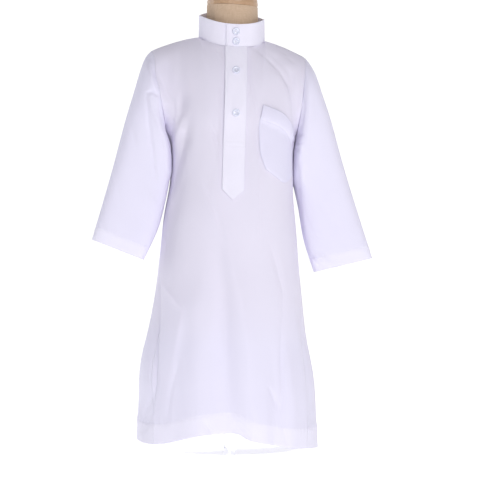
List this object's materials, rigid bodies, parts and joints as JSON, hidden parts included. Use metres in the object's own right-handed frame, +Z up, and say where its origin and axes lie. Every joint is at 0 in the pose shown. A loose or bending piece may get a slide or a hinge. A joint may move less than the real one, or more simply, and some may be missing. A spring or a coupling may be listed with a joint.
{
  "type": "child's thobe robe on a limbless dress form",
  "caption": "Plain white ankle-length child's shirt robe with standing collar, half-length placket, chest pocket and straight sleeves, filled out on a limbless dress form with a round base.",
  "frame": {"origin": "middle of the bounding box seen from above, on the floor under the form's base", "axes": "+Z up, the front faces -Y, +X is the wearer's left"},
  "size_m": [0.4484, 0.241, 0.7353],
  "materials": {
    "cloth": "matt, plain woven cotton and polyester",
    "double_cloth": "matt, two layers with interfacing",
    "pearl": "pearl effect, glossy",
    "form_linen": "matt linen cover",
    "beech": "satin varnish",
    "acrylic": "clear polished acrylic"
  },
  "bodies": {
    "root": {"front_panel": "cloth", "back_panel": "cloth", "side_gore_left": "cloth", "side_gore_right": "cloth", "sleeve_left": "cloth", "sleeve_right": "cloth", "collar_stand": "double_cloth", "placket": "double_cloth", "chest_pocket": "double_cloth", "collar_button_upper": "pearl", "collar_button_lower": "pearl", "placket_button_upper": "pearl", "placket_button_lower": "pearl", "form_torso": "form_linen", "form_neck_cap": "beech", "form_pole": "acrylic", "form_base": "acrylic"}
  },
  "joints": []
}
